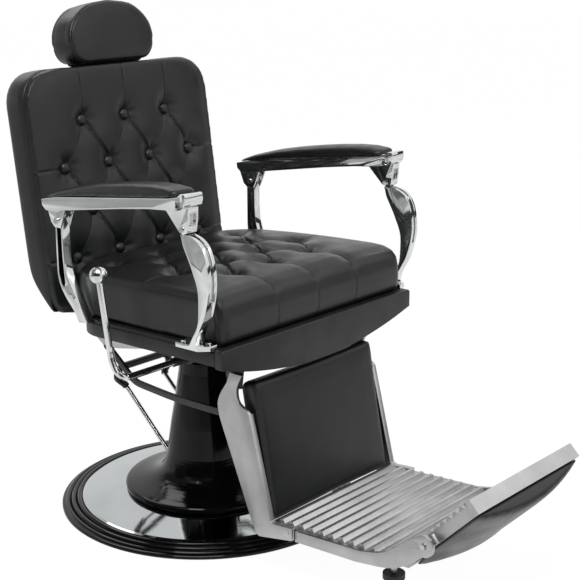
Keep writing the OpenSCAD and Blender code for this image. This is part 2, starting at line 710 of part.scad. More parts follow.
module headrest_pin() {
  color("silver") on_back() translate([-40, tilt_pin[0], tilt_pin[1]]) rotate([0, 90, 0]) cylinder(h = 80, r = 4);
}
module headrest_pad() {
  color("black") on_back() padded(head_outline(2), [0, 172],
    [[-3, 0.3, 0.3], [-2, 0.6, 0.6], [1, 0.85, 0.85], [4, 0.95, 0.95], [8, 1, 1], [27, 1, 1]]);
}

// ---- footrest ----

plate_pin = [-392, 97];
module footrest_arm_side() {
  rear = concat([[-254, 380]], smooth([[-245, 358], [-228, 333], [-221, 311], [-226, 285]], 3),
    [[-307, 92]], arc([-325, 86], 13, -20, -90, 4), [[-404, 88]]);
  front = concat([[-404, 112], [-360, 108]], [[-352, 111], [-301, 308]],
    smooth([[-296, 314], [-276, 324], [-270, 339], [-272, 356], [-284, 380]], 3));
  color("silver") difference() {
    union() {
      yz(foot_half - 7, 7) polygon(concat(rear, front));
      yz(foot_half - 12, 12) polygon([[-301, 308], [-352, 111], [-360, 108], [-404, 112], [-404, 107], [-357, 103],
        [-347, 109], [-296, 308]]);
    }
    rod_x(170, foot_half - 2, foot_pivot, 6);
    rod_x(170, foot_half - 2, foot_pivot + crank, 5);
    rod_x(170, foot_half - 2, plate_pin, 5);
  }
}
module footrest_arm_left() footrest_arm_side();
module footrest_arm_right() mirror([1, 0, 0]) footrest_arm_side();

leg_top = [-298, 366];
leg_low = [-345, 115];
module on_leg() {
  // X across, Y from front to rear, Z up along the leg panel.
  translate([0, leg_low[0], leg_low[1]]) rotate([-atan((leg_top[0] - leg_low[0]) / (leg_top[1] - leg_low[1])), 0, 0])
    children();
}
module leg_pad() {
  color("black") on_leg() padded(soft_box(-175, 175, -11, 256, 9, 2), [0, 122],
    [[-6, 0.4, 0.4], [-5.4, 0.75, 0.7], [-4, 0.93, 0.91], [-1, 0.985, 0.98], [5, 1, 1], [32, 0.99, 0.99]]);
}
module leg_panel() {
  color("black") on_leg() {
    translate([-168, 32.2, -4]) cube([336, 5, 250]);
    translate([-foot_half + 7, 32.2, 20]) cube([2 * foot_half - 14, 5, 150]);
  }
}

plate_rear = -346;
plate_front = -660;
function plate_z(y) = 105.7 + (plate_rear - y) * 0.045;
module footplate() {
  n = 13;
  cheek = concat([[-408, 86], [-468, 89], [-549, 93], [-600, 100]],
    smooth([[-620, 104], [-647, 115], [-675, 133], [-686, 144]], 3),
    arc(flap_pivot, 20, -80, -265, 12),
    smooth([[-686, 186], [-660, 168], [-630, 144], [-600, 127], [-560, 117]], 3), [[-408, 107]]);
  color("silver") {
    difference() {
      both_sides() yz(foot_half - 12, 7) polygon(cheek);
      rod_x(-200, 200, flap_pivot, 5 + fit);
    }
    yz(-foot_half + 11.5, 2 * foot_half - 23) polygon([[plate_rear, plate_z(plate_rear)],
      [plate_front, plate_z(plate_front)], [plate_front, plate_z(plate_front) - 5],
      [plate_rear, plate_z(plate_rear) - 5]]);
    for (k = [0:n - 1]) let (y = plate_rear - 19 - k * rib_pitch)
      yz(-foot_half + 18, 2 * foot_half - 36) polygon([[y - 8, plate_z(y) - 1], [y - 3, plate_z(y) + 8],
        [y + 3, plate_z(y) + 8], [y + 8, plate_z(y) - 1]]);
  }
}
stud_place = [150, -608];
module foot_studs() {
  color("silver") both_sides() translate([stud_place[0], stud_place[1], 75]) cylinder(h = 38, r = 6);
}
module foot_bumpers() {
  color("black") both_sides() translate([stud_place[0], stud_place[1], 69]) difference() {
    cylinder(h = 10, r = 20);
    translate([0, 0, 6]) cylinder(h = 10, r = 6);
  }
}
module footrest_pins() {
  color("silver") both_sides() {
    rod_x(176, foot_half - 2, foot_pivot, 6);
    rod_x(175.5, foot_half - 2, foot_pivot + crank, 5);
    rod_x(178, foot_half - 2, plate_pin, 5);
  }
}

// ---- toe flap ----

flap_half = 164;
module on_flap() {
  // Z runs up the flap, Y towards the sitter.
  translate([0, flap_pivot[0], flap_pivot[1]]) rotate([45, 0, 0]) children();
}
module flap_plate() {
  rib = 17.3;
  color("silver") on_flap() {
    translate([-flap_half, -10, -2]) cube([2 * flap_half, 21.5, 120]);
    translate([-flap_half, -10, 108]) cube([2 * flap_half, 28, 15]);
    for (k = [0:5]) yz(-flap_half + 4, 2 * flap_half - 8) translate([0, 5 + rib * k])
      polygon([[11, -4], [18, 0], [18, 5], [11, 9]]);
    both_sides() difference() {
      union() {
        translate([foot_half - 20, 0, 0]) rotate([0, 90, 0]) cylinder(h = 7, r = 12);
        translate([flap_half - 1, -9, 0]) cube([8, 18, 18]);
      }
      translate([flap_half - 4, 0, 0]) rotate([0, 90, 0]) cylinder(h = 40, r = 5);
    }
  }
}
// Cross-section of the toe pad at height z: bulged outside, flat against the plate, and
// thinning out where it hangs below the plate.
function flap_ring(z, inset, full) = let (h = flap_half + 2 - inset, inner = -10.3 - 0.13 * max(0, -16 - z)) concat(
  [for (i = [10:-1:-10]) let (x = h * i / 10) [x, inner - 3.2 - 29 * full * (1 - pow(abs(i) / 10, 2)), z]],
  [for (x = [-h, 0, h]) [x, inner, z]]);
module flap_pad() {
  low = -57;
  high = 115;
  color("black") on_flap() skin([flap_ring(low, 8, 0.6), flap_ring(low + 4, 3, 0.78), flap_ring(low + 16, 0, 0.94),
    flap_ring(-16, 0, 1), flap_ring(36, 0, 1), flap_ring(high - 26, 0, 1), flap_ring(high - 10, 0, 0.96),
    flap_ring(high - 3, 2, 0.86), flap_ring(high, 8, 0.65)]);
}
module flap_pins() {
  color("silver") both_sides() rod_x(flap_half + 0.5, foot_half - 2, flap_pivot, 5);
}

// ---- links ----

link_x = 176.5;
module link_side() {
  path = concat([hinge + crank], smooth([[84, 346], [60, 328], [40, 312], [18, 299], [-16, 295], [-110, 290],
    [-205, 291]], 3), [foot_pivot + crank]);
  color("black") difference() {
    union() {
      yz(link_x, 6) polygon(strip(path, 6.5));
      rod_x(link_x, link_x + 6, hinge + crank, 9);
      rod_x(link_x, link_x + 6, foot_pivot + crank, 9);
    }
    rod_x(160, 190, hinge + crank, 5 + fit);
    rod_x(160, 190, foot_pivot + crank, 5 + gap);
  }
}
module link_left() link_side();
module link_right() mirror([1, 0, 0]) link_side();

base_plate();
base_rim();
base_disc();
column_cover();
pump_cylinder();
pump_gland();
pump_bolts();
pedal_bracket();
pedal_pin();
pedal_rods();
pedal_sleeve();
pump_ram();
swivel_head();
head_bolts();
seat_frame();
seat_board();
front_apron();
seat_cushion();
arm_bar_left();
arm_bar_right();
front_leg_left();
front_leg_right();
rear_leg_left();
rear_leg_right();
arm_pad_left();
arm_pad_right();
arm_brackets();
arm_bolts();
hinge_brackets();
hinge_shaft();
footrest_brackets();
lever_brackets();
lever_spring();
lock_cylinder();
recline_lever();
lever_knob();
lock_rod();
back_crank();
back_board();
back_cushion();
back_buttons();
back_shell();
headrest_guide();
headrest_post();
headrest_housing();
headrest_pad();
headrest_pin();
footrest_arm_left();
footrest_arm_right();
leg_pad();
leg_panel();
footplate();
foot_studs();
foot_bumpers();
footrest_pins();
flap_plate();
flap_pad();
flap_pins();
link_left();
link_right();
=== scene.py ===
"""Hydraulic barber chair: cushions, finishes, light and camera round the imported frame."""
import json
import math
import bmesh
import bpy
import numpy as np
from mathutils import Matrix, Vector
from mathutils.bvhtree import BVHTree
from mathutils.kdtree import KDTree


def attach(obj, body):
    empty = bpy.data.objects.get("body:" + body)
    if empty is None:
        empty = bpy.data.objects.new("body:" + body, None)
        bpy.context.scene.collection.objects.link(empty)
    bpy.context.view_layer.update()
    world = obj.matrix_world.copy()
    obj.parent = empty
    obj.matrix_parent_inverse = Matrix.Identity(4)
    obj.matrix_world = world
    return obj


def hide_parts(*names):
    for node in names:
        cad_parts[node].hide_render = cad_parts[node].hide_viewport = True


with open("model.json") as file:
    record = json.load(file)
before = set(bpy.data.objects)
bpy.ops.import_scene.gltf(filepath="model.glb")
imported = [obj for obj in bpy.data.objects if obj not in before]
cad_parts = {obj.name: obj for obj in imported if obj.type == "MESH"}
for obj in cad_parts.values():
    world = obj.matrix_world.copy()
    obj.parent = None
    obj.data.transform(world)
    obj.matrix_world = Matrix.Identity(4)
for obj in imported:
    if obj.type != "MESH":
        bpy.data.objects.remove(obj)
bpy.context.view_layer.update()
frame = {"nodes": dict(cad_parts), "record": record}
nodes = frame["nodes"]
body_of_node = {n: b for b, ns in frame["record"]["behaviour"]["bodies"].items() for n in ns}
scene = bpy.context.scene
MM = 0.001


# ---------------------------------------------------------------- camera and light

CAM_TARGET = Vector((0.1171, -0.1328, 0.4532))
CAM_AZ, CAM_EL, CAM_ROLL, CAM_DIST = -48.6, 15.2, -0.3, 2.6933


def camera_matrix():
    """Looks at the target from its azimuth (from -Y towards +X) and elevation, with a little roll."""
    a, e, r = (math.radians(v) for v in (CAM_AZ, CAM_EL, CAM_ROLL))
    back = Vector((math.sin(a) * math.cos(e), -math.cos(a) * math.cos(e), math.sin(e)))
    side = Vector((0, 0, 1)).cross(back).normalized()
    up = back.cross(side)
    side, up = math.cos(r) * side + math.sin(r) * up, math.cos(r) * up - math.sin(r) * side
    m = Matrix((side, up, back)).transposed().to_4x4()
    m.translation = CAM_TARGET + CAM_DIST * back
    return m


camera = bpy.data.objects.new("camera", bpy.data.cameras.new("camera"))
scene.collection.objects.link(camera)
camera.data.lens = 81.17
camera.data.sensor_width = 36
camera.data.clip_end = 60
camera.matrix_world = camera_matrix()
scene.camera = camera


def area_light(name, place, target, size, power):
    data = bpy.data.lights.new(name, "AREA")
    data.shape = "RECTANGLE"
    data.size, data.size_y = size
    data.energy = power
    ob = bpy.data.objects.new(name, data)
    scene.collection.objects.link(ob)
    ob.location = place
    ob.rotation_euler = (Vector(target) - Vector(place)).to_track_quat("-Z", "Y").to_euler()


area_light("key", (-1.6, -1.0, 2.9), (0, 0, 0.5), (1.6, 1.2), 46)
area_light("fill", (1.9, -2.6, 1.9), (0, -0.2, 0.5), (2.6, 2.2), 16)
area_light("rim", (0.6, 2.2, 2.6), (0, 0.1, 0.6), (1.6, 0.8), 9)

# ---------------------------------------------------------------- materials


class Graph:
    """A node tree, with short names for the nodes used here."""

    def __init__(self, nt):
        self.nt = nt

    def add(self, kind, inputs=(), **props):
        node = self.nt.nodes.new(kind)
        for key, value in props.items():
            setattr(node, key, value)
        for key, value in dict(inputs).items():
            if isinstance(value, bpy.types.NodeSocket):
                self.nt.links.new(value, node.inputs[key])
            else:
                node.inputs[key].default_value = value
        return node

    def range(self, value, lo, hi, to_lo, to_hi, **props):
        inputs = {0: value, 1: lo, 2: hi, 3: to_lo, 4: to_hi}
        return self.add("ShaderNodeMapRange", inputs, **props).outputs[0]

    def math(self, how, a, b):
        return self.add("ShaderNodeMath", {0: a, 1: b}, operation=how).outputs[0]


class Tree(Graph):
    """A material round one Principled BSDF."""

    def __init__(self, name, colour, **sockets):
        self.mat = bpy.data.materials.new(name)
        self.mat.use_nodes = True
        self.mat.diffuse_color = (*colour, 1)
        super().__init__(self.mat.node_tree)
        self.bsdf = self.nt.nodes["Principled BSDF"]
        self.bsdf.inputs["Base Color"].default_value = (*colour, 1)
        for key, value in sockets.items():
            self.bsdf.inputs[key.replace("_", " ")].default_value = value
        self.coord = self.nt.nodes.new("ShaderNodeTexCoord").outputs["Object"]

    def stretched(self, scale):
        return self.add("ShaderNodeMapping", {"Vector": self.coord, "Scale": scale}).outputs[0]

    def noise(self, scale, detail=4.0, rough=0.5, vector=None, distortion=0.0):
        return self.add("ShaderNodeTexNoise", {
            "Vector": vector or self.coord, "Scale": scale, "Detail": detail, "Roughness": rough,
            "Distortion": distortion}).outputs["Fac"]

    def cells(self, scale):
        return self.add("ShaderNodeTexVoronoi", {"Vector": self.coord, "Scale": scale},
                        feature="DISTANCE_TO_EDGE").outputs["Distance"]

    def blend(self, fac, a, b):
        node = self.add("ShaderNodeMix", data_type="RGBA")
        for socket, value in ((node.inputs[0], fac), (node.inputs[6], a), (node.inputs[7], b)):
            if isinstance(value, bpy.types.NodeSocket):
                self.nt.links.new(value, socket)
            else:
                socket.default_value = value if not isinstance(value, tuple) else (*value, 1)
        return node.outputs[2]

    def bump(self, height, strength, distance, normal=None):
        node = self.add("ShaderNodeBump", {"Height": height, "Strength": strength, "Distance": distance})
        if normal is not None:
            self.nt.links.new(normal, node.inputs["Normal"])
        return node.outputs[0]

    def to(self, socket, value):
        self.nt.links.new(value, self.bsdf.inputs[socket])

    def edges(self, width):
        """1 on outward edges and 0 elsewhere."""
        point = self.add("ShaderNodeNewGeometry").outputs["Pointiness"]
        return self.range(point, 0.5 + width, 0.5 + 3 * width, 0, 1)


def leather(name, dark, light, grain=620.0, rough=(0.3, 0.42)):
    """Pebbled upholstery leather: cells, fine wrinkles, colour and polish that wander."""
    t = Tree(name, light, Specular_IOR_Level=0.48)
    t.to("Base Color", t.blend(t.range(t.noise(9, 5), 0.35, 0.68, 0, 1), dark, light))
    cells = t.range(t.cells(grain), 0, 0.22, 0, 1)
    wrinkle = t.noise(60, 6, 0.65, t.stretched((1, 1.6, 0.8)), 1.2)
    t.to("Roughness", t.range(t.noise(24, 5), 0.3, 0.7, *rough))
    soft = t.bump(wrinkle, 0.1, 0.0012)
    t.to("Normal", t.bump(cells, 0.16, 0.00035, soft))
    return t.mat


def chrome(name):
    """Polished plating over a hand-finished casting."""
    colour = (0.71, 0.72, 0.725)
    t = Tree(name, colour, Metallic=1.0)
    smear = t.noise(26, 6, 0.6, t.stretched((1, 1, 0.35)))
    t.to("Roughness", t.range(smear, 0.32, 0.72, 0.035, 0.11))
    dull = tuple(0.9 * c for c in colour)
    t.to("Base Color", t.blend(t.range(t.noise(11, 4), 0.4, 0.7, 0, 1), colour, dull))
    scratch = t.noise(420, 3, 0.7, t.stretched((0.12, 1, 1)))
    soft = t.bump(t.noise(14, 2), 0.05, 0.004)
    t.to("Normal", t.bump(scratch, 0.03, 0.0002, soft))
    return t.mat


def satin_metal(name, colour, rough, along=(1, 1, 0.04), metallic=1.0, depth=0.08):
    """Brushed or sanded metal: fine streaks along one direction."""
    t = Tree(name, colour, Metallic=metallic)
    streak = t.noise(520, 4, 0.75, t.stretched(along))
    wiped = t.range(t.noise(7), 0.3, 0.7, 0, 0.06)
    t.to("Roughness", t.math("ADD", t.range(streak, 0.3, 0.7, *rough), wiped))
    dull = tuple(0.82 * c for c in colour)
    t.to("Base Color", t.blend(t.range(t.noise(16, 5), 0.35, 0.7, 0, 1), colour, dull))
    t.to("Normal", t.bump(streak, depth, 0.0002, t.bump(t.noise(90, 3), 0.05, 0.0006)))
    return t.mat


def paint(name, colour, rough, peel, worn=(0.16, 0.16, 0.165), spec=0.5):
    """Sprayed paint with orange peel, dust and a little rubbing on its edges."""
    t = Tree(name, colour, Specular_IOR_Level=spec)
    lifted = tuple(1.6 * c + 0.004 for c in colour)
    base = t.blend(t.range(t.noise(6, 6), 0.4, 0.75, 0, 1), colour, lifted)
    rub = t.math("MULTIPLY", t.edges(0.05), t.range(t.noise(60, 5), 0.5, 0.7, 0, 0.5))
    t.to("Base Color", t.blend(rub, base, worn))
    t.to("Roughness", t.range(t.noise(18, 6), 0.3, 0.75, *rough))
    t.to("Normal", t.bump(t.noise(240, 2), peel, 0.0005, t.bump(t.noise(1100, 2), peel, 0.0002)))
    return t.mat


def ringed_mirror(name):
    """Polished disc: faint turning marks round the column and wiped smears."""
    bright, dull = (0.47, 0.49, 0.495), (0.4, 0.42, 0.425)
    t = Tree(name, bright, Metallic=1.0)
    rings = t.add("ShaderNodeTexWave", {"Vector": t.coord, "Scale": 180.0, "Distortion": 1.5, "Detail": 3.0},
                  wave_type="RINGS", rings_direction="Z").outputs["Fac"]
    t.to("Roughness", t.range(t.noise(10, 6, 0.65), 0.35, 0.75, 0.03, 0.09))
    t.to("Base Color", t.blend(t.range(t.noise(7, 5), 0.45, 0.75, 0, 1), bright, dull))
    t.to("Normal", t.bump(rings, 0.015, 0.0003))
    return t.mat


M = {
    "leather": leather("black_leather", (0.0055, 0.006, 0.0066), (0.009, 0.0098, 0.0105)),
    "vinyl": leather("black_vinyl", (0.0075, 0.008, 0.0083), (0.011, 0.0118, 0.0122), 900, (0.4, 0.52)),
    "chrome": chrome("polished_chrome"),
    "disc": ringed_mirror("mirror_disc"),
    "aluminium": satin_metal("satin_aluminium", (0.49, 0.495, 0.49), (0.28, 0.4)),
    "steel": satin_metal("machined_steel", (0.56, 0.56, 0.57), (0.2, 0.34), (1, 0.05, 1)),
    "iron": satin_metal("painted_iron", (0.05, 0.05, 0.052), (0.45, 0.6), (1, 1, 1), 0.4, 0.3),
    "brass": satin_metal("turned_brass", (0.66, 0.48, 0.2), (0.22, 0.34), (1, 1, 6)),
    "gloss": paint("gloss_black_paint", (0.0022, 0.0022, 0.0025), (0.08, 0.15), 0.02, spec=0.2),
    "satin": paint("satin_black_paint", (0.012, 0.012, 0.0125), (0.32, 0.48), 0.1),
    "plastic": paint("moulded_black_plastic", (0.012, 0.0125, 0.013), (0.4, 0.55), 0.3, (0.02, 0.02, 0.02)),
    "rubber": paint("black_rubber", (0.01, 0.01, 0.0105), (0.5, 0.65), 0.35, (0.018, 0.018, 0.018)),
    "thread": leather("waxed_thread", (0.012, 0.012, 0.0125), (0.03, 0.031, 0.032), 1500, (0.4, 0.55)),
}

NODE_LOOK = {
    "iron": "base_plate pump_cylinder", "gloss": "base_rim column_cover swivel_head", "disc": "base_disc",
    "brass": "pump_gland",
    "steel": "pump_bolts pedal_pin pump_ram head_bolts hinge_shaft lock_rod footrest_pins flap_pins "
             "headrest_pin foot_studs",
    "satin": "pedal_bracket seat_frame footrest_brackets lever_brackets lock_cylinder link_left link_right "
             "back_crank pedal_sleeve lever_spring",
    "rubber": "foot_bumpers", "plastic": "back_shell leg_panel",
    "vinyl": "seat_board front_apron back_board headrest_housing",
    "leather": "seat_cushion back_cushion back_buttons headrest_pad leg_pad flap_pad arm_pad_left "
               "arm_pad_right",
    "chrome": "arm_bar_left arm_bar_right front_leg_left front_leg_right rear_leg_left rear_leg_right "
              "arm_brackets arm_bolts recline_lever lever_knob headrest_post headrest_guide pedal_rods",
    "aluminium": "footrest_arm_left footrest_arm_right footplate flap_plate hinge_brackets",
}
look_of = {n: look for look, names in NODE_LOOK.items() for n in names.split()}
for n, ob in nodes.items():
    ob.data.materials.clear()
    ob.data.materials.append(M[look_of[n]])


# ---------------------------------------------------------------- mesh helpers

def new_piece(name, mesh, body, look, stands_for=()):
    ob = bpy.data.objects.new(name, mesh)
    scene.collection.objects.link(ob)
    mesh.materials.clear()
    mesh.materials.append(M[look])
    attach(ob, body)
    if stands_for:
        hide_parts(*stands_for)
    return ob


def smooth_shade(mesh, angle):
    mesh.polygons.foreach_set("use_smooth", [True] * len(mesh.polygons))
    mesh.set_sharp_from_angle(angle=math.radians(angle))


def coords(mesh):
    co = np.empty(len(mesh.vertices) * 3)
    mesh.vertices.foreach_get("co", co)
    return co.reshape(-1, 3)


def set_coords(mesh, co):
    mesh.vertices.foreach_set("co", np.asarray(co, float).ravel())
    mesh.update()


def normals(mesh):
    no = np.empty(len(mesh.vertices) * 3, np.float32)
    mesh.vertex_normals.foreach_get("vector", no)
    return no.reshape(-1, 3).astype(float)


def baked(ob):
    """The object's mesh with its modifiers applied."""
    bpy.context.view_layer.update()
    out = bpy.data.meshes.new_from_object(ob.evaluated_get(bpy.context.evaluated_depsgraph_get()))
    ob.modifiers.clear()
    return out


def mesh_of(name, parts, ends=(0, -1)):
    """One mesh over the rows of points (mm) round each part; the rows named in ends are closed."""
    bm = bmesh.new()
    for part in parts:
        rows = [[bm.verts.new(Vector(p) * MM) for p in row] for row in part]
        for a, b in zip(rows, rows[1:]):
            for j in range(len(b)):
                i = (j + 1) % len(b)
                bm.faces.new((a[j], b[j], b[i], a[i]) if len(a) > 1 else (a[0], b[j], b[i]))
        for end in ends:
            bm.faces.new(rows[end])
    bmesh.ops.recalc_face_normals(bm, faces=bm.faces)
    mesh = bpy.data.meshes.new(name)
    bm.to_mesh(mesh)
    bm.free()
    return mesh


def round_rows(profile, centre, place, sides, wave=lambda a: 0):
    """Rows of points of a turned shape from (radius, height); its wide rows follow a wave."""
    rows = []
    for radius, height in profile:
        row = []
        for a in (2 * math.pi * j / sides for j in range(sides if radius else 1)):
            reach = radius * (1 + (wave(a) if radius > 8 else 0))
            row.append(place(height, centre[0] + reach * math.cos(a), centre[1] + reach * math.sin(a)))
        rows.append(row)
    return rows


def remeshed(mesh, voxel, smooth):
    ob = bpy.data.objects.new("remesh_work", mesh)
    scene.collection.objects.link(ob)
    mod = ob.modifiers.new("voxels", "REMESH")
    mod.mode = "VOXEL"
    mod.voxel_size = voxel * MM
    mod = ob.modifiers.new("even", "SMOOTH")
    mod.iterations = smooth
    out = baked(ob)
    bpy.data.objects.remove(ob)
    return out


def inflate(mesh, pins, pressure, cap, frames):
    """Cloth under pressure, held where pins is 1; no point moves more than cap mm."""
    rest = coords(mesh)
    ob = bpy.data.objects.new("cloth_work", mesh)
    scene.collection.objects.link(ob)
    group = ob.vertex_groups.new(name="pin")
    for level in np.unique(np.round(pins, 1)):
        if level > 0:
            group.add([int(i) for i in np.nonzero(np.round(pins, 1) == level)[0]], float(level), "REPLACE")
    cloth = ob.modifiers.new("cloth", "CLOTH")
    s = cloth.settings
    s.quality = 5
    s.mass = 0.3
    s.tension_stiffness = s.compression_stiffness = s.shear_stiffness = 12.0
    s.bending_stiffness = 0.6
    s.use_pressure = True
    s.uniform_pressure_force = pressure
    s.vertex_group_mass = "pin"
    s.effector_weights.gravity = 0
    cloth.collision_settings.use_collision = False
    cloth.point_cache.frame_start = 1
    cloth.point_cache.frame_end = frames
    for f in range(1, frames + 1):
        scene.frame_set(f)
    moved = coords(baked(ob))
    scene.frame_set(1)
    bpy.data.objects.remove(ob)
    step = moved - rest
    far = np.linalg.norm(step, axis=1, keepdims=True)
    step *= np.minimum(1, cap * MM / np.maximum(far, 1e-9))
    set_coords(mesh, rest + step)


def subdivided(mesh):
    ob = bpy.data.objects.new("subdiv_work", mesh)
    scene.collection.objects.link(ob)
    ob.modifiers.new("sub", "SUBSURF").levels = 1
    out = baked(ob)
    bpy.data.objects.remove(ob)
    return out


def groove(mesh, lines, depth, width):
    """Presses lines (mm) into a mesh as a sewn seam, with the leather drawn in beside them."""
    pts = [Vector(p) * MM for line in lines for p in dense(line, 1.0)]
    tree = KDTree(len(pts))
    for i, p in enumerate(pts):
        tree.insert(p, i)
    tree.balance()
    co, no = coords(mesh), normals(mesh)
    lo = np.min(pts, axis=0) - width * MM
    hi = np.max(pts, axis=0) + width * MM
    near = np.nonzero(np.all((co > lo) & (co < hi), axis=1))[0]
    for i in near:
        d = tree.find(co[i])[2] / (width * MM)
        if d < 1:
            co[i] -= no[i] * depth * MM * ((1 - d) ** 2 * (1 + 0.4 * d))
    set_coords(mesh, co)


def dense(line, step):
    """Points about step mm apart along a polyline."""
    out = []
    line = [Vector(p) for p in line]
    for a, b in zip(line, line[1:]):
        k = max(1, int((b - a).length / step))
        out += [a.lerp(b, i / k) for i in range(k)]
    return out + [line[-1]]


def surface_line(tree, line, lift=0.0):
    """A polyline (mm) laid onto a surface."""
    out = []
    for p in dense(line, 3.0):
        place, normal, *_ = tree.find_nearest(p * MM)
        out.append(place / MM + normal * lift)
    return out


def on_surface(tree, lines, lift=0.0):
    return [surface_line(tree, line, lift) for line in lines]


def surface_tree(mesh):
    bm = bmesh.new()
    bm.from_mesh(mesh)
    tree = BVHTree.FromBMesh(bm)
    bm.free()
    return tree


def sewing(name, strokes, body, radius, look):
    """Round threads along short runs of points (mm)."""
    curve = bpy.data.curves.new(name, "CURVE")
    curve.dimensions = "3D"
    curve.bevel_depth = radius * MM
    curve.bevel_resolution = 1
    for stroke in strokes:
        spline = curve.splines.new("POLY")
        spline.points.add(len(stroke) - 1)
        for point, p in zip(spline.points, stroke):
            point.co = (*(p * MM), 1)
    ob = bpy.data.objects.new(name, curve)
    scene.collection.objects.link(ob)
    curve.materials.append(M[look])
    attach(ob, body)


def threads(name, lines, body):
    """Sewing thread along lines (mm): a row of stitches 4.2 mm long and 1.4 mm apart."""
    step, stitch, space = 0.7, 6, 2
    strokes = []
    for line in lines:
        pts = dense(line, step)
        strokes += [(pts[i], pts[i + (stitch + 1) // 2], pts[i + stitch])
                    for i in range(0, len(pts) - stitch, stitch + space)]
    sewing(name, strokes, body, 0.55, "thread")


def crease_shade_cords(name, lines, body, radius=0.6):
    """A dark cord along whole lines (mm), laid in a fold as painted shade that draws the fold's dark line."""
    sewing(name, lines, body, radius, "vinyl")


def eased(name, bevel, segments=2, flat=1.2):
    """The node's own shape with its edges rounded, standing for the node."""
    node = nodes[name]
    mesh = node.data.copy()
    mesh.name = name + "_eased"
    bm = bmesh.new()
    bm.from_mesh(mesh)
    bmesh.ops.remove_doubles(bm, verts=bm.verts, dist=1e-6)
    bmesh.ops.dissolve_limit(bm, angle_limit=math.radians(flat), verts=bm.verts, edges=bm.edges)
    bm.to_mesh(mesh)
    bm.free()
    work = bpy.data.objects.new("ease_work", mesh)
    scene.collection.objects.link(work)
    mod = work.modifiers.new("ease", "BEVEL")
    mod.width = bevel * MM
    mod.segments = segments
    mod.limit_method = "ANGLE"
    mod.angle_limit = math.radians(28)
    out = baked(work)
    bpy.data.objects.remove(work)
    smooth_shade(out, 34)
    return new_piece(name + "_eased", out, body_of_node[name], look_of[name], [name])


# ---------------------------------------------------------------- places on the chair (mm)

TUFT, ROW_BACK, ROW_SEAT = 115.0, 91.6, 88.0
BACK_ORIGIN, BACK_LEAN = (222.0, 798.0), 7.8
BACK_HALF, BACK_TOP, BACK_LOW, BACK_CORNER = 249.0, 106.0, -384.0, 66.0
SEAT_HALF, SEAT_ROW = 262.0, -190.0
ARM_X, ARM_Y, ARM_SPLAY = 289.0, -300.0, 2.7
FOOT_PIN_X, FOOT_PIN_YZ = 190.0, (-392.0, 99.0)
HEAD_DROP, HEAD_DROP_TOP = 1.2, 150.0


def tilted(origin, degrees):
    """Function from (x, depth, height) in a frame tipped about X to chair mm."""
    c, s = math.cos(math.radians(degrees)), math.sin(math.radians(degrees))

    def place(x, n, t):
        return Vector((x, origin[0] + n * c + t * s, origin[1] - n * s + t * c))
    return place


on_back = tilted(BACK_ORIGIN, BACK_LEAN)
on_leg = tilted((-345.0, 115.0), math.degrees(math.atan2(47, 251)))


def from_back(co):
    """Array of chair metres to (x, depth, height) in mm in the back's frame."""
    turn = math.radians(BACK_LEAN)
    y, z = co[:, 1] / MM - BACK_ORIGIN[0], co[:, 2] / MM - BACK_ORIGIN[1]
    return co[:, 0] / MM, y * math.cos(turn) - z * math.sin(turn), y * math.sin(turn) + z * math.cos(turn)


def shift_in_back(co, n, t):
    """Moves chair metres by mm of depth and height in the back's frame."""
    turn = math.radians(BACK_LEAN)
    co[:, 1] += (n * math.cos(turn) + t * math.sin(turn)) * MM
    co[:, 2] += (t * math.cos(turn) - n * math.sin(turn)) * MM


def tufting(x, t, q, crisp, soft, pit, wide):
    """Sewn relief in mm: crisp folds one way, soft folds the other, a puckered pit at each tuft."""
    spacing = 1 / math.hypot(1 / TUFT, 1 / (2 * q))
    xc, tc = np.clip(x, -1.5 * TUFT, 1.5 * TUFT), np.clip(t, -3 * q, 0)
    fade = np.exp(-np.hypot(x - xc, t - tc) / 20)
    da, db = (np.abs(v - np.round(v)) * spacing for v in (xc / TUFT + tc / (2 * q), xc / TUFT - tc / (2 * q)))
    near, angle = np.full(x.shape, 1e3), np.zeros(x.shape)
    for k in range(4):
        for bx in tuft_row(k):
            away = np.hypot(x - bx * TUFT, t + k * q)
            angle = np.where(away < near, np.arctan2(t + k * q, x - bx * TUFT) * 7 + 5 * bx + k, angle)
            near = np.minimum(near, away)
    fold = crisp * (0.4 * np.exp(-(da / 3.5) ** 2) + 0.6 * np.exp(-(da / 17) ** 2))
    relief = fade * (fold + soft * np.exp(-(db / 17) ** 2))
    relief += pit * np.exp(-(near / wide) ** 1.5)
    relief += 0.06 * pit * np.sin(angle) * np.exp(-((near - 20) / 9) ** 2)
    return relief, near


def tuft_row(k):
    return (-1, 0, 1) if k % 2 == 0 else (-1.5, -0.5, 0.5, 1.5)


def channel_off(x):
    """Distance in mm from the nearest of the three sewn channels at the cushion's edge."""
    return np.minimum(np.abs(np.abs(x) - TUFT), np.abs(x))


def held(near, rim):
    """Cloth pins: the tufts and the rim are held, the rest mostly."""
    return np.maximum(np.maximum(np.clip(1.3 - near / 16, 0, 1), rim), 0.6)


def fold_lines(place, q, towards):
    """Lines between neighbouring tufts, to the right (1) or to the left (-1) going down the rows."""
    out = []
    for k in range(3):
        for bx in tuft_row(k):
            if abs(bx + 0.5 * towards) <= 1.5:
                out.append([place((bx + 0.5 * towards * u) * TUFT + 2.5 * math.sin(math.pi * u), -(k + u) * q)
                            for u in (0.08, 0.25, 0.42, 0.58, 0.75, 0.92)])
    return out


def press_folds(mesh, tree, place, q, cuts, name, body, radius):
    """Presses the folds between tufts (depth, width) into a cushion; the crisp ones get a dark cord laid in
    them as painted shade.
    """
    for towards, (depth, width) in zip((1, -1), cuts):
        folds = fold_lines(place, q, towards)
        groove(mesh, on_surface(tree, folds), depth, width)
        if towards == 1:
            tree = surface_tree(mesh)
            # painted shade: a dark cord down each crisp fold
            crease_shade_cords(name, on_surface(tree, folds), body, radius)


# ---------------------------------------------------------------- seat

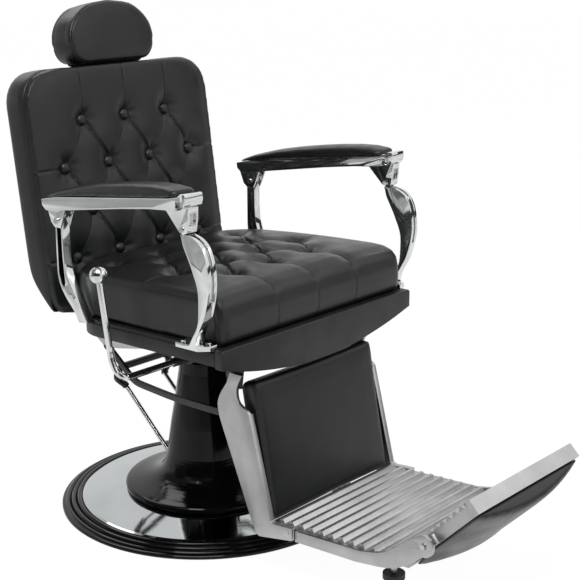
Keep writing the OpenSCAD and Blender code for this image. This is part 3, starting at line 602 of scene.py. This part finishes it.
def seat_rear(x):
    r = 120.0
    e = max(0.0, abs(x) - (SEAT_HALF - r))
    return 156 - r + math.sqrt(max(0.0, r * r - e * e))


def seat_edge(y):
    return 540 - 0.045 * (y + 290)


def over_board(y):
    return 454.6 - (y + 321) * math.tan(math.radians(1.36))


def seat_shell(x, inset, drop):
    rear = seat_rear(x) - inset
    crown = math.sqrt(max(0.0, 1 - (abs(x) / SEAT_HALF) ** 6))
    front = [(-300, 455), (-307, 462), (-309, 484), (-308, 508), (-303, 528), (-292, 543), (-271, 551)]
    ring = [(x, y + inset, z - drop) for y, z in front[:4]]
    ring += [(x, y + inset, z - (1 - crown) * (z - 526) * 0.4 - drop) for y, z in front[4:]]
    for k in range(17):
        y = -245 + (rear - 22 + 245) * k / 16
        swell = 12 + 5 * math.sin(math.pi * k / 16) - 5 * k / 16
        ring.append((x, y, seat_edge(y) + 3 + crown * swell - drop))
    ring += [(x, rear - 8, seat_edge(rear) + 6 - drop), (x, rear - 1, seat_edge(rear) - 10 - drop)]
    ring += [(x, rear, 500), (x, rear - 3, 470)]
    return ring + [(x, y, over_board(y)) for y in (rear - 8, 0, -200)]


def make_seat():
    xs = [0, 40, 80, 120, 160, 195, 220, 238, 248]
    sides = [(255, 2, 1), (259, 5, 4), (261.4, 9, 9), (262, 14, 16)]
    half = [seat_shell(x, 0, 0) for x in xs] + [seat_shell(x, i, d) for x, i, d in sides]
    rings = [[(-p[0], p[1], p[2]) for p in r] for r in reversed(half[1:])] + half
    mesh = remeshed(mesh_of("seat_leather", [rings]), 4.6, 3)
    co = coords(mesh)
    x, y, z = (co[:, i] / MM for i in range(3))
    t = SEAT_ROW - y
    relief, near = tufting(x, t, ROW_SEAT, 4.0, 3.5, 15, 23)
    top = np.clip((z - 505) / 30, 0, 1)
    side = np.clip((SEAT_HALF - 4 - np.abs(x)) / 50, 0, 1) ** 0.7
    rear = np.clip((152 - y) / 40, 0, 1)
    sag = 3.0 * np.exp(-(channel_off(x) / 13) ** 2) * np.clip((t - 4) / 20, 0, 1)
    co[:, 2] = (z - (relief + sag) * top * side * rear) * MM
    set_coords(mesh, co)
    inflate(mesh, held(near, np.clip((475 - z) / 12, 0, 1)), 2.2, 3, 12)
    mesh = subdivided(mesh)
    tree = surface_tree(mesh)
    seams = [[(x, -195, 560), (x, -250, 560), (x, -285, 548), (x, -300, 528), (x, -309, 490), (x, -303, 458)]
             for x in (-TUFT, 0, TUFT)]
    seams += [[(s * 1.5 * TUFT, y, 560), (s * 215, y, 556), (s * 252, y, 545), (s * 260, y, 535)]
              for s in (-1, 1) for y in (-105, 75)]
    side_seam = (-290, 529), (-250, 536), (-20, 528), (40, 524)
    corner_seam = (-284, 531), (-290, 512), (-297, 480), (-299, 457)
    seams += [[(s * SEAT_HALF, y, z) for y, z in line] for line in (side_seam, corner_seam) for s in (-1, 1)]
    lines = on_surface(tree, seams)
    groove(mesh, lines, 1.5, 4.2)
    press_folds(mesh, tree, lambda x, t: Vector((x, SEAT_ROW - t, 548)), ROW_SEAT, ((2.8, 6.5), (1.0, 5)),
                "seat_crease_shade", "seat", 0.6)
    smooth_shade(mesh, 80)
    ob = new_piece("seat_leather", mesh, "seat", "leather", ["seat_cushion"])
    threads("seat_stitching", on_surface(surface_tree(mesh), lines, -0.1), "seat")


# ---------------------------------------------------------------- back

def back_half_at(t):
    r, rb = BACK_CORNER, 40.0
    e, g = max(0.0, t - (BACK_TOP - r)), max(0.0, BACK_LOW + rb - t)
    return BACK_HALF - r + math.sqrt(max(0.0, r * r - e * e)) - rb + math.sqrt(max(0.0, rb * rb - g * g))


def back_shell_ring(t, inset, flat):
    h = back_half_at(t) - inset
    rear = min(37.5, 10 + (t - BACK_LOW) * 38 / 36)
    ring = [(-h + 0.5, rear, t), (-h - 0.3, rear * 0.6 + 2, t), (-h + 0.6, 6, t), (-h + 3, 0, t)]
    for i in range(-10, 11):
        x = i / 10 * (h - 7)
        ring.append((x, 1 - 11 * flat * (1 - abs(i / 10) ** 7), t))
    ring += [(h - 3, 0, t), (h - 0.6, 6, t), (h + 0.3, rear * 0.6 + 2, t), (h - 0.5, rear, t)]
    ring += [(i / 3 * h, rear, t) for i in (2, 1, 0, -1, -2)]
    return [tuple(on_back(*p)) for p in ring]


def make_back():
    rows = [(BACK_TOP + up, inset, flat)
            for up, inset, flat in ((1.5, 15, 0.25), (0.5, 8, 0.5), (-2.5, 2, 0.75), (-10, 0, 0.92))]
    rows += [(t, 0, 1) for t in range(80, -360, -22)]
    rows += [(-362, 0, 1), (-372, 0, 0.95), (-379, 2, 0.8), (BACK_LOW, 9, 0.4)]
    mesh = remeshed(mesh_of("back_leather", [[back_shell_ring(*r) for r in rows]]), 4.4, 3)
    co = coords(mesh)
    x, n, t = from_back(co)
    face = np.clip((9 - n) / 9, 0, 1)
    relief, near = tufting(x, t, ROW_BACK, 3.5, 1.5, 14, 26)
    side = np.clip((BACK_HALF - 6 - np.abs(x)) / 45, 0, 1) ** 0.8
    top = np.clip((BACK_TOP - 8 - t) / 40, 0, 1) ** 0.8
    sag = 3.5 * np.exp(-(channel_off(x) / 17) ** 2) * np.exp(-np.clip(t, 0, 99) / 32) * (t > 0)
    shift_in_back(co, (relief + sag) * face * side * top, 0)
    set_coords(mesh, co)
    inflate(mesh, held(near, np.clip((n - 24) / 8, 0, 1)), 2.0, 3, 12)
    mesh = subdivided(mesh)
    tree = surface_tree(mesh)
    seams = [[on_back(x, n, t) for n, t in ((-2, 6), (-9, 40), (-9, 80), (-2, 97), (6, 106))]
             for x in (-TUFT, 0, TUFT)]
    side_seam = (1.5 * TUFT + 6, 0), (215, -9), (242, -3), (BACK_HALF, 6)
    seams += [[on_back(s * x, n, -k * ROW_BACK) for x, n in side_seam] for s in (-1, 1) for k in (1, 3)]
    lines = on_surface(tree, seams)
    groove(mesh, lines, 2.0, 5)
    tree = surface_tree(mesh)
    # painted shade: a dark cord in each seam above the top row of tufts
    crease_shade_cords("back_top_crease_shade", on_surface(tree, lines[:3]), "back")
    press_folds(mesh, tree, lambda x, t: on_back(x, -6, t), ROW_BACK, ((2.8, 6), (0.8, 4.5)),
                "back_crease_shade", "back", 0.7)
    tree = surface_tree(mesh)
    corner = [BACK_TOP - BACK_CORNER * (1 - math.sin(math.radians(a))) for a in range(0, 86, 8)]
    heights = [BACK_LOW + 6, *range(-370, 40, 12), *corner]
    rim = []
    for depth in (3.0, 8.5):
        right = [on_back(back_half_at(t), depth, t) for t in heights]
        over = [on_back(x, depth, BACK_TOP) for x in range(170, -171, -20)]
        left = [on_back(-back_half_at(t), depth, t) for t in reversed(heights)]
        rim.append(surface_line(tree, right + over + left))
    groove(mesh, rim, 1.4, 4)
    smooth_shade(mesh, 80)
    ob = new_piece("back_leather", mesh, "back", "leather", ["back_cushion"])
    threads("back_stitching", on_surface(surface_tree(mesh), lines + rim, -0.1), "back")


def make_border(name, body, outline, depths, seams):
    """One strip of leather wrapped round an edge: closed loops from front to rear, sewn near the front."""
    mesh = mesh_of(name, [[outline(*d) for d in depths]], ends=())
    work = bpy.data.objects.new("border_work", mesh)
    scene.collection.objects.link(work)
    work.modifiers.new("thick", "SOLIDIFY").thickness = 2 * MM
    work.modifiers.new("round", "SUBSURF").levels = 1
    out = baked(work)
    bpy.data.objects.remove(work)
    loops = [outline(*d) for d in seams]
    lines = on_surface(surface_tree(out), [loop + loop[:1] for loop in loops])
    groove(out, lines, 0.8, 3)
    smooth_shade(out, 60)
    new_piece(name, out, body, "leather")
    threads(name + "_stitching", on_surface(surface_tree(out), lines), body)


def arc(x, t, radius, angles):
    return [(x + radius * math.cos(math.radians(a)), t + radius * math.sin(math.radians(a))) for a in angles]


def mirrored(side):
    return [(-x, t) for x, t in reversed(side)]


def back_edge(depth, out):
    """Outline of the back at a depth, its lower edge cut off by the slope behind."""
    cut = ((4, BACK_LOW), (12, -375), (40, -340), (61, -308), (66, -290), (68.5, -262))
    low = float(np.interp(depth, [c[0] for c in cut], [c[1] for c in cut]))
    side = [(back_half_at(max(t, BACK_LOW + 40)) + out, t) for t in np.linspace(low, 30, 30)]
    side += arc(BACK_HALF - BACK_CORNER, BACK_TOP - BACK_CORNER, BACK_CORNER + out, range(0, 90, 9))
    under_head = [(x, BACK_TOP + out * min(1, max(0.3, (abs(x) - 100) / 30))) for x in range(176, -177, -8)]
    loop = side + under_head + mirrored(side) + [(x, low - out) for x in range(-230, 231, 20)]
    return [on_back(x, depth, t) for x, t in loop]


def make_buttons():
    """Leather-covered buttons: a domed cap over a tucked rim."""
    profile = [(0, -3.0), (3.4, -2.8), (6.8, -1.8), (9.8, 0.2), (11.8, 2.8), (12.6, 5.0), (12, 7.0),
               (9.8, 8.4), (5.5, 9.8)]
    parts = [round_rows(profile, (bx * TUFT, -k * ROW_BACK), lambda n, x, t: on_back(x, n, t), 28,
                        lambda a, bx=bx: 0.018 * math.sin(7 * a + bx))
             for k in range(4) for bx in tuft_row(k)]
    mesh = mesh_of("back_tuft_buttons", parts, ends=(-1,))
    smooth_shade(mesh, 60)
    ob = new_piece("back_tuft_buttons", mesh, "back", "leather", ["back_buttons"])


make_seat()
make_back()
make_border("back_border", "back", back_edge,
            [(11, -3), (12, 0.6), (15, 1.6), (22, 2.2), (32, 2.5), (44, 2.6), (56, 2.2), (64, 1.2),
             (68, -0.6), (68.9, -4)], [(15, 1.6), (19, 2)])
make_buttons()


# ---------------------------------------------------------------- smaller pads

def soft_copy(name, piece, body, voxel, smooth, pressure, cap):
    """The node's own pad, remeshed and blown up as cloth by at most cap mm."""
    mesh = remeshed(nodes[name].data.copy(), voxel, smooth)
    inflate(mesh, np.full(len(mesh.vertices), 0.35), pressure, cap, 16)
    mesh = subdivided(mesh)
    smooth_shade(mesh, 80)
    ob = new_piece(piece, mesh, body, "leather", [name])
    return ob


def sew(ob, name, body, lines, depth=1.3, width=4.2):
    """Presses lines into a pad and sews them."""
    laid = on_surface(surface_tree(ob.data), lines)
    groove(ob.data, laid, depth, width)
    threads(name, on_surface(surface_tree(ob.data), laid, -0.1), body)


def head_drop(t):
    """How far the headrest's underside comes down towards the back at height t."""
    return HEAD_DROP * np.clip((HEAD_DROP_TOP - t) / 30, 0, 1)


def lowered(mesh):
    co = coords(mesh)
    shift_in_back(co, 0, -head_drop(from_back(co)[2]))
    set_coords(mesh, co)


def head_edge(n, out):
    """The headrest's closed outline at depth n, out mm outside its pad."""
    side = arc(76, 149, 34 + out, range(-90, -9, 10))
    side += [(x + out, t) for x, t in ((112, 160), (110, 172), (107, 183), (100, 196), (90, 207), (76, 218))]
    side += [(58, 227 + out), (30, 233 + out)]
    loop = side + [(0, 235 + out)] + mirrored(side)
    return [on_back(x, n, t - head_drop(t)) for x, t in loop]


def make_keel():
    """Padded edge under the headrest, in front of its post, that closes the gap over the back."""
    middle, top = 42, 124
    round_under = [(middle - 5 * c, 112 - 4.3 * s) for c, s in arc(0, 0, 1, range(0, 181, 20))]
    section = [(36.5, top), *round_under, (47.5, top)]
    half = ((98, 0.85), (94, 0.97), (88, 1), (40, 1))
    stations = [(-x, k) for x, k in half] + [(0, 1)] + list(reversed(half))
    rows = [[on_back(x, middle + (n - middle) * k, top - (top - t) * k) for n, t in section]
            for x, k in stations]
    mesh = mesh_of("headrest_keel", [rows])
    smooth_shade(mesh, 50)
    new_piece("headrest_keel", mesh, "headrest", "vinyl")


for side in ("left", "right"):
    soft_copy("arm_pad_" + side, "arm_leather_" + side, "seat", 3.2, 2, 2.0, 1.5)
leg = soft_copy("leg_pad", "leg_leather", "footrest", 4.4, 1, 2.0, 2)
sew(leg, "leg_stitching", "footrest", [[on_leg(s * 174, -2, t) for t in range(-2, 252, 10)] for s in (-1, 1)])
head = soft_copy("headrest_pad", "headrest_leather", "headrest", 3.4, 2, 2.5, 3)
lowered(head.data)
head_seam = head_edge(7, 1)
sew(head, "headrest_stitching", "headrest", [head_seam + head_seam[:1]], 2.2, 5)
make_border("headrest_border", "headrest", lambda n, out: head_edge(n, 1 + out),
            [(10, -3), (11, 0.2), (14, 0.7), (24, 1.0), (40, 1), (56, 0.4), (65, -0.6), (69, -2.5), (70, -5)],
            [(13.5, 0.7)])
soft_copy("flap_pad", "flap_leather", "toe_flap", 3.8, 3, 2.0, 2)
make_keel()

# ---------------------------------------------------------------- rounded metal

def paint_channel(ob):
    """The open channel of a rear leg is black inside."""
    turn = math.radians(ARM_SPLAY)
    channel = ((103, 641), (118, 641), (118, 528), (110, 503), (101, 498.5), (96.5, 510), (101.5, 560))
    ob.data.materials.append(M["gloss"])
    for face in ob.data.polygons:
        c = face.center / MM
        x, y = abs(c.x) - ARM_X, c.y - ARM_Y
        x, y = x * math.cos(turn) + y * math.sin(turn), y * math.cos(turn) - x * math.sin(turn) + ARM_Y
        inside = False
        for (y0, z0), (y1, z1) in zip(channel, channel[1:] + channel[:1]):
            if (z0 > c.z) != (z1 > c.z) and y < y0 + (c.z - z0) * (y1 - y0) / (z1 - z0):
                inside = not inside
        if inside and -2.6 < x < 9.2:
            face.material_index = 1


def make_pin_heads():
    """Turned heads of the pins that join the footplate to its arms."""
    profile = [(5.6, -1), (5.6, 0.6), (5, 1.1), (3.4, 1.1), (3, 0.5), (2.2, 0.5), (1.8, 1.4), (0.01, 1.6)]
    parts = [round_rows(profile, FOOT_PIN_YZ, lambda h, y, z, s=s: (s * (FOOT_PIN_X + h), y, z), 24)
             for s in (-1, 1)]
    mesh = mesh_of("foot_pin_heads", parts, ends=())
    smooth_shade(mesh, 40)
    new_piece("foot_pin_heads", mesh, "footrest", "steel")


EASED = {
    "arm_bar_left arm_bar_right": (2.0, 3), "front_leg_left front_leg_right": (1.8, 3),
    "rear_leg_left rear_leg_right footrest_arm_left footrest_arm_right": (1.2, 2),
    "footplate arm_brackets": (0.8, 2), "flap_plate": (0.4, 1, 0.1), "front_apron": (4.0, 4),
    "seat_board": (1.4, 3), "headrest_housing": (3.0, 3),
    "leg_panel back_shell back_board seat_frame swivel_head back_crank hinge_brackets footrest_brackets "
    "link_left link_right headrest_post headrest_guide": (1.0, 2),
}
metal = {n: eased(n, *shape) for names, shape in EASED.items() for n in names.split()}
for n in ("rear_leg_left", "rear_leg_right"):
    paint_channel(metal[n])
lowered(metal["headrest_housing"].data)
make_pin_heads()

# ---------------------------------------------------------------- floor and world

def make_world():
    """White studio; reflections see it with a dark end behind the photographer and three dark flags."""
    world = bpy.data.worlds.new("studio")
    scene.world = world
    world.use_nodes = True
    g = Graph(world.node_tree)
    rays = g.add("ShaderNodeLightPath").outputs
    direction = g.add("ShaderNodeTexCoord").outputs["Generated"]
    flags = (((-0.86, -0.48, 0.1), 0.6, 0.84, 0.05), ((0.74, -0.66, 0.0), 0.78, 0.93, 0.04),
             ((-0.9, 0.42, 0.2), 0.88, 0.94, 0.15), ((-0.35, 0.62, 0.7), 0.8, 0.95, 0.3))
    seen = 1.0
    for towards, lo, hi, dark in flags:
        dot = g.add("ShaderNodeVectorMath", {0: direction, 1: Vector(towards).normalized()},
                    operation="DOT_PRODUCT").outputs["Value"]
        seen = g.math("MULTIPLY", seen, g.range(dot, lo, hi, 1.0, dark, interpolation_type="SMOOTHSTEP"))
    bounced = g.math("MAXIMUM", rays["Is Glossy Ray"], rays["Is Transmission Ray"])
    level = g.range(g.math("MAXIMUM", rays["Is Camera Ray"], bounced), 0, 1, 0.42, 1.0)
    background = world.node_tree.nodes["Background"].inputs
    background["Color"].default_value = (1, 1, 1, 1)
    strength = g.math("MULTIPLY", level, g.range(bounced, 0, 1, 1.0, seen))
    g.nt.links.new(strength, background["Strength"])


def make_floor():
    """Pale floor; metal sees it paler and darker, as a painted reflection with a painted dark patch behind
    the sitter's right that only reflections see.
    """
    mesh = bpy.data.meshes.new("floor")
    s = 16.0
    mesh.from_pydata([(-s, -s, 0), (s, -s, 0), (s, s, 0), (-s, s, 0)], [], [(0, 1, 2, 3)])
    ob = bpy.data.objects.new("floor", mesh)
    scene.collection.objects.link(ob)
    t = Tree("pale_floor", (0.86, 0.86, 0.86), Roughness=0.7)
    rays = t.add("ShaderNodeLightPath").outputs
    place = t.add("ShaderNodeSeparateXYZ", {0: t.coord}).outputs
    x, y = place["X"], place["Y"]
    # painted reflection: a dark patch behind the sitter's right, and half-dark floor beyond it, seen only by
    # metal
    reflected_dark_patch = t.math("MAXIMUM", t.range(y, 1.62, 1.63, 1.0, 0.04), t.range(y, 1.72, 1.73, 0, 1))
    reflected_dark_patch = t.math("MULTIPLY", reflected_dark_patch, t.range(y, 1.72, 1.74, 1.0, 0.5))
    reflected_dark_patch = t.math("MAXIMUM", reflected_dark_patch, t.range(x, -1.5, -1.1, 0, 1))
    # painted reflection: the floor's mottled brightness as metal sees it
    painted_reflection = t.math("MULTIPLY", reflected_dark_patch, t.range(t.noise(0.9, 1.0), 0.35, 0.62, 0.72, 1.06))
    glow = t.add("ShaderNodeEmission", {"Strength": t.range(rays["Is Glossy Ray"], 0, 1, 1.06, painted_reflection)})
    seen = t.math("MULTIPLY", t.math("MAXIMUM", rays["Is Camera Ray"], rays["Is Glossy Ray"]), 0.9)
    mix = t.add("ShaderNodeMixShader", {0: seen, 1: t.bsdf.outputs[0], 2: glow.outputs[0]})
    t.nt.links.new(mix.outputs[0], t.nt.nodes["Material Output"].inputs[0])
    mesh.materials.append(t.mat)


make_world()
make_floor()
scene.view_settings.view_transform = "Standard"
